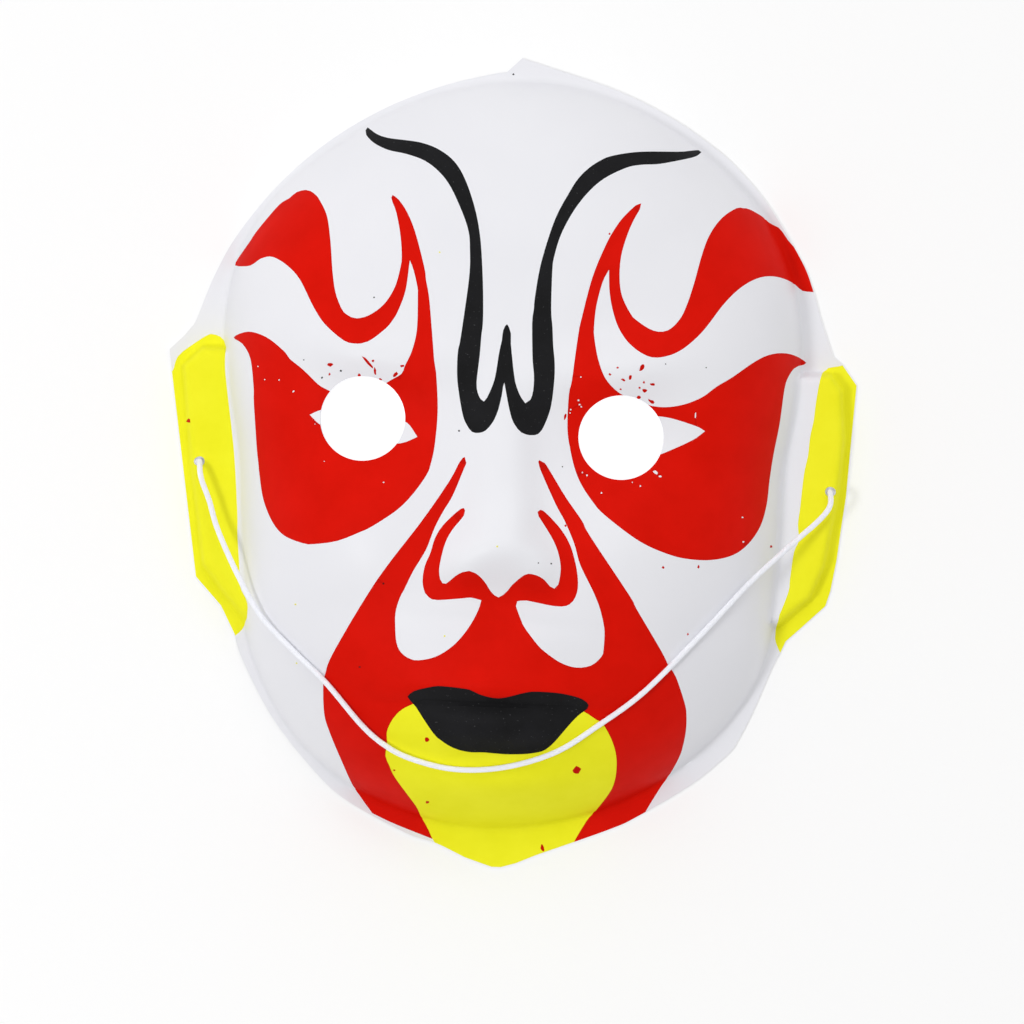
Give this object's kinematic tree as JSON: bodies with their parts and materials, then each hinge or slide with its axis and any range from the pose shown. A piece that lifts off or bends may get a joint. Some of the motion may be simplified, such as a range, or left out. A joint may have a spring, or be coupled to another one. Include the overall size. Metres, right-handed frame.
{
  "type": "opera mask",
  "caption": "Thin formed plastic face mask with painted opera pattern, round eye holes, ear flaps and an elastic cord lying across the front.",
  "frame": {"origin": "bottom centre of the mask's box, on the surface it lies on, in the plane of the flange's back", "axes": "+Z out of the face, +Y towards the forehead, +X to the viewer's right"},
  "size_m": [0.187, 0.22, 0.0502],
  "materials": {
    "printed_sheet": "white PVC sheet, satin, screen printed red, black and yellow on its front",
    "white_elastic": "covered round elastic, white, matt"
  },
  "bodies": {
    "root": {"mask_shell": "printed_sheet", "elastic_cord": "white_elastic", "knot_left": "white_elastic", "knot_right": "white_elastic"}
  },
  "joints": []
}
